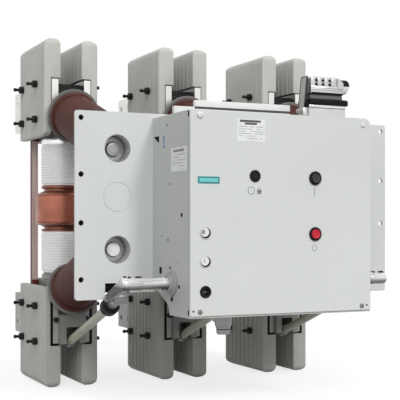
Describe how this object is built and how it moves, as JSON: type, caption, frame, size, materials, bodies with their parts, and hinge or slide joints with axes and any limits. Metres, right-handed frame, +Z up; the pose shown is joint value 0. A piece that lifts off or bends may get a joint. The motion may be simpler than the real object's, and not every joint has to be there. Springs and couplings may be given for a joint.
{
  "type": "vacuum circuit breaker",
  "caption": "High-current medium-voltage vacuum circuit breaker: spring mechanism box and mounting plate in front, pole assemblies with finned heat sinks on splayed post insulators behind.",
  "frame": {"origin": "middle of the mounting plate, on its back face", "axes": "+X to the operator's right, +Y back towards the poles, +Z up"},
  "size_m": [0.725, 0.802, 0.781],
  "materials": {
    "painted_sheet": "light grey powder coat",
    "housing_paint": "light grey powder coat",
    "black_plastic": "satin",
    "red_plastic": "gloss",
    "white_plastic": "satin",
    "zinc_casting": "cast and polished",
    "dark_latch": "satin",
    "grey_fitting": "satin",
    "plated_steel": "zinc plated",
    "black_rubber": "matte",
    "glass_fibre_rod": "resin-bound glass fibre",
    "cast_resin": "cast epoxy resin",
    "cast_head": "cast, matt",
    "sink_aluminium": "sand cast, coated",
    "silver_plate": "silver plated",
    "white_ceramic": "white glaze",
    "copper_shield": "copper-coloured lacquer",
    "laminate_strut": "resin laminate"
  },
  "bodies": {
    "breaker_frame": {"mounting_plate": "painted_sheet", "mechanism_housing": "housing_paint", "front_plate": "painted_sheet", "button_guides": "black_plastic", "key_lock": "black_plastic", "indicator_windows": "white_plastic", "crank_socket": "black_plastic", "wiring_duct": "white_plastic", "connector_base": "zinc_casting", "connector_hood": "zinc_casting", "cable_gland": "grey_fitting", "shaft_bearings": "plated_steel", "insulators_1": "cast_resin", "insulators_2": "cast_resin", "insulators_3": "cast_resin", "upper_head_1": "cast_head", "upper_head_2": "cast_head", "upper_head_3": "cast_head", "lower_head_1": "cast_head", "lower_head_2": "cast_head", "lower_head_3": "cast_head", "heat_sinks_1": "sink_aluminium", "heat_sinks_2": "sink_aluminium", "heat_sinks_3": "sink_aluminium", "upper_terminals": "silver_plate", "lower_terminals": "silver_plate", "interrupter_ceramics": "white_ceramic", "interrupter_shields": "copper_shield", "interrupter_caps": "cast_head", "struts": "laminate_strut"},
    "shaft": {"switching_shaft": "plated_steel"},
    "rod_left": {"rod_eye_1": "plated_steel", "rod_cap_1": "black_rubber", "operating_rod_1": "glass_fibre_rod"},
    "rod_middle": {"rod_eye_2": "plated_steel", "rod_cap_2": "black_rubber", "operating_rod_2": "glass_fibre_rod"},
    "rod_right": {"rod_eye_3": "plated_steel", "rod_cap_3": "black_rubber", "operating_rod_3": "glass_fibre_rod"},
    "on_push": {"on_button": "black_plastic"},
    "off_push": {"off_button": "red_plastic"},
    "latch": {"connector_lever": "dark_latch"}
  },
  "joints": [
    {"name": "shaft_turn", "type": "hinge", "parent": "breaker_frame", "child": "shaft", "pos_m": [0, -0.106, -0.163], "axis": [-1, 0, 0], "range_deg": [0, 30]},
    {"name": "rod_left_pin", "type": "hinge", "parent": "shaft", "child": "rod_left", "pos_m": [-0.275, -0.016, -0.195], "axis": [-1, 0, 0], "range_deg": [-39, 0.5]},
    {"name": "rod_middle_pin", "type": "hinge", "parent": "shaft", "child": "rod_middle", "pos_m": [0, -0.016, -0.195], "axis": [-1, 0, 0], "range_deg": [-39, 0.5]},
    {"name": "rod_right_pin", "type": "hinge", "parent": "shaft", "child": "rod_right", "pos_m": [0.275, -0.016, -0.195], "axis": [-1, 0, 0], "range_deg": [-39, 0.5]},
    {"name": "on_press", "type": "slide", "parent": "breaker_frame", "child": "on_push", "axis": [0, 1, 0], "range_m": [0, 0.005], "stiffness_N_per_m": 600},
    {"name": "off_press", "type": "slide", "parent": "breaker_frame", "child": "off_push", "axis": [0, 1, 0], "range_m": [0, 0.005], "stiffness_N_per_m": 600},
    {"name": "latch_swing", "type": "hinge", "parent": "breaker_frame", "child": "latch", "pos_m": [0.07, -0.124, 0.178], "axis": [0, -1, 0], "range_deg": [0, 55]}
  ],
  "couplings": [
    {"joint": "rod_left_pin", "follows": "shaft_turn", "ratio": -1.258},
    {"joint": "rod_middle_pin", "follows": "shaft_turn", "ratio": -1.258},
    {"joint": "rod_right_pin", "follows": "shaft_turn", "ratio": -1.258}
  ]
}
